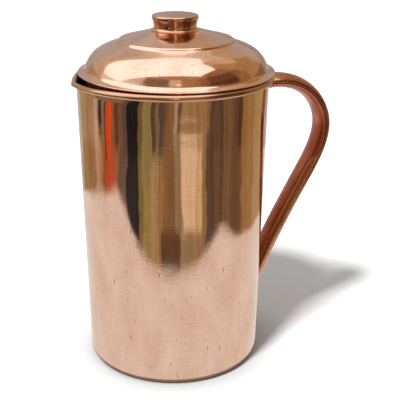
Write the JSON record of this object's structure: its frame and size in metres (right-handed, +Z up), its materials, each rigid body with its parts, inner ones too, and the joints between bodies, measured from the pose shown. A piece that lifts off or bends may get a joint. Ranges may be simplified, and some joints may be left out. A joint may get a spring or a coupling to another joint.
{
  "type": "water jug",
  "caption": "Tall straight-sided copper water jug with a pinched pouring lip, a hollow bow handle and a domed lift-off lid with a flat-topped knob.",
  "frame": {"origin": "centre of the flat base, on the surface the jug stands on", "axes": "+Z up along the jug's axis, +X towards the handle, -X towards the pouring lip"},
  "size_m": [0.1701, 0.1246, 0.222],
  "materials": {
    "polished_copper": "polished copper sheet, fine brushing and light scratches",
    "annealed_copper": "annealed copper sheet, left unpolished and reddish",
    "inner_copper": "satin copper sheet",
    "knob_copper": "turned and polished copper",
    "brass_wire": "plain drawn brass"
  },
  "bodies": {
    "jug": {"body_wall": "polished_copper", "rim_wire": "brass_wire", "base_pan": "inner_copper", "handle_shell": "polished_copper", "handle_liner": "annealed_copper"},
    "lid": {"lid_shell": "polished_copper", "lid_collar": "inner_copper", "knob": "knob_copper", "knob_washer": "brass_wire", "knob_screw": "brass_wire"}
  },
  "joints": [
    {"name": "lid_lift", "type": "slide", "parent": "jug", "child": "lid", "axis": [0, 0, 1], "range_m": [0, 0.06]}
  ]
}
